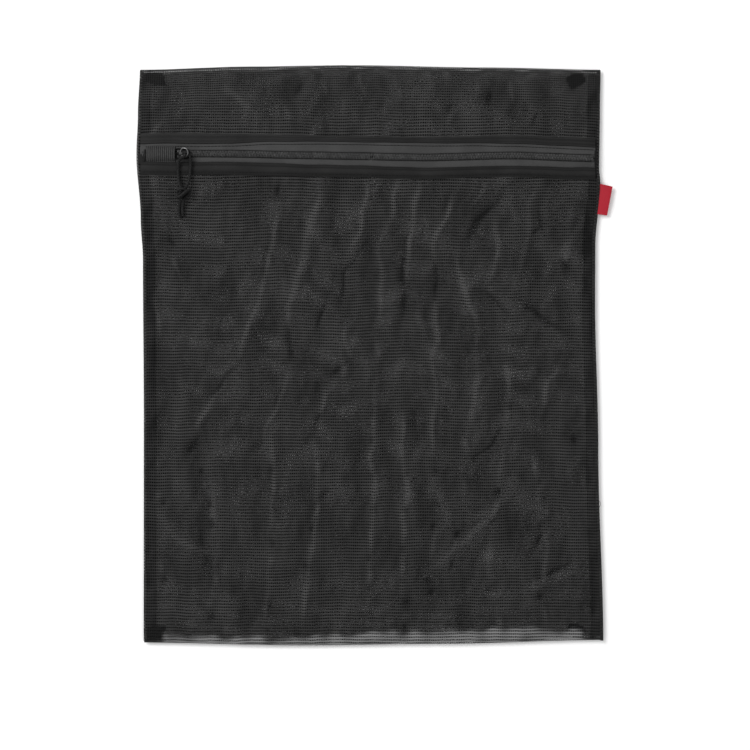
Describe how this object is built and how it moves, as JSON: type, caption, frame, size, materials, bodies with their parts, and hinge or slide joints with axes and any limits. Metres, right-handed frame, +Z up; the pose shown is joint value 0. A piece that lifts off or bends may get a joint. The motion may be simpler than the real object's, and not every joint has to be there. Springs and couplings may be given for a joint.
{
  "type": "mesh laundry bag",
  "caption": "Flat rectangular bag of dark knitted mesh with a coil zip near one end, a ring and cord pull, an elastic cover for the parked slider and bound inner side seams.",
  "frame": {"origin": "middle of the outer face of the back panel, which the bag lies on", "axes": "+Z up out of the front of the bag, +Y along its length towards the zip end, +X across its width towards the side label"},
  "size_m": [0.4114, 0.5, 0.017],
  "materials": {
    "knit_mesh": "dark charcoal open warp-knit polyester mesh, matt with a slight yarn sheen",
    "zip_tape": "black woven polyester zip tape",
    "coil_nylon": "black wound monofilament coil",
    "sewing_thread": "black polyester sewing thread",
    "binding_tape": "black woven binding tape",
    "ribbed_elastic": "black ribbed elastic band",
    "slider_plastic": "black coated zip slider, slightly glossy",
    "ring_wire": "plated steel wire",
    "pull_cord": "black braided cord",
    "label_ribbon": "red woven satin ribbon, blank"
  },
  "bodies": {
    "bag": {"back_panel": "knit_mesh", "head_panel": "knit_mesh", "top_fold": "knit_mesh", "bottom_fold": "knit_mesh", "left_edge": "knit_mesh", "right_edge": "knit_mesh", "upper_hem": "knit_mesh", "upper_tape": "zip_tape", "upper_coil": "coil_nylon", "upper_coil_thread": "sewing_thread", "upper_hem_thread": "sewing_thread", "left_binding": "binding_tape", "right_binding": "binding_tape", "left_seam_thread": "sewing_thread", "right_seam_thread": "sewing_thread", "top_left_tape_end": "binding_tape", "top_right_tape_end": "binding_tape", "bottom_left_tape_end": "binding_tape", "bottom_right_tape_end": "binding_tape", "elastic_garage": "ribbed_elastic", "garage_thread": "sewing_thread", "zip_end_tab": "zip_tape", "zip_end_tack": "sewing_thread"},
    "front": {"front_panel": "knit_mesh", "lower_hem": "knit_mesh", "lower_tape": "zip_tape", "lower_coil": "coil_nylon", "lower_coil_thread": "sewing_thread", "lower_hem_thread": "sewing_thread"},
    "slider": {"slider_body": "slider_plastic"},
    "ring": {"pull_ring": "ring_wire"},
    "cord": {"pull_cord": "pull_cord", "pull_knot": "pull_cord", "pull_tail_left": "pull_cord", "pull_tail_right": "pull_cord"},
    "label": {"side_label": "label_ribbon"}
  },
  "joints": [
    {"name": "slider_slide", "type": "slide", "parent": "bag", "child": "slider", "axis": [0.9999, -0.0112, 0], "range_m": [0, 0.345]},
    {"name": "mouth_open", "type": "hinge", "parent": "bag", "child": "front", "pos_m": [0, -0.2462, 0.0072], "axis": [1, 0, 0], "range_deg": [0, 8], "deforming": ["lower_tape", "lower_coil", "lower_coil_thread"]},
    {"name": "ring_flip", "type": "hinge", "parent": "slider", "child": "ring", "pos_m": [-0.1655, 0.175, 0.0121], "axis": [0.342, -0.9397, 0], "range_deg": [0, 75]},
    {"name": "cord_swing", "type": "hinge", "parent": "ring", "child": "cord", "pos_m": [-0.16086, 0.17287, 0.01357], "axis": [-1, 0, 0], "range_deg": [0, 150], "deforming": ["pull_cord", "pull_knot", "pull_tail_left", "pull_tail_right"]},
    {"name": "label_flip", "type": "hinge", "parent": "bag", "child": "label", "pos_m": [0.2004, 0.137, 0.0032], "axis": [0, -1, 0], "range_deg": [0, 85]}
  ],
  "couplings": [
    {"joint": "mouth_open", "follows": "slider_slide", "rad_per_m": 0.40471},
    {"joint": "ring_flip", "follows": "cord_swing", "ratio": 0.5}
  ]
}
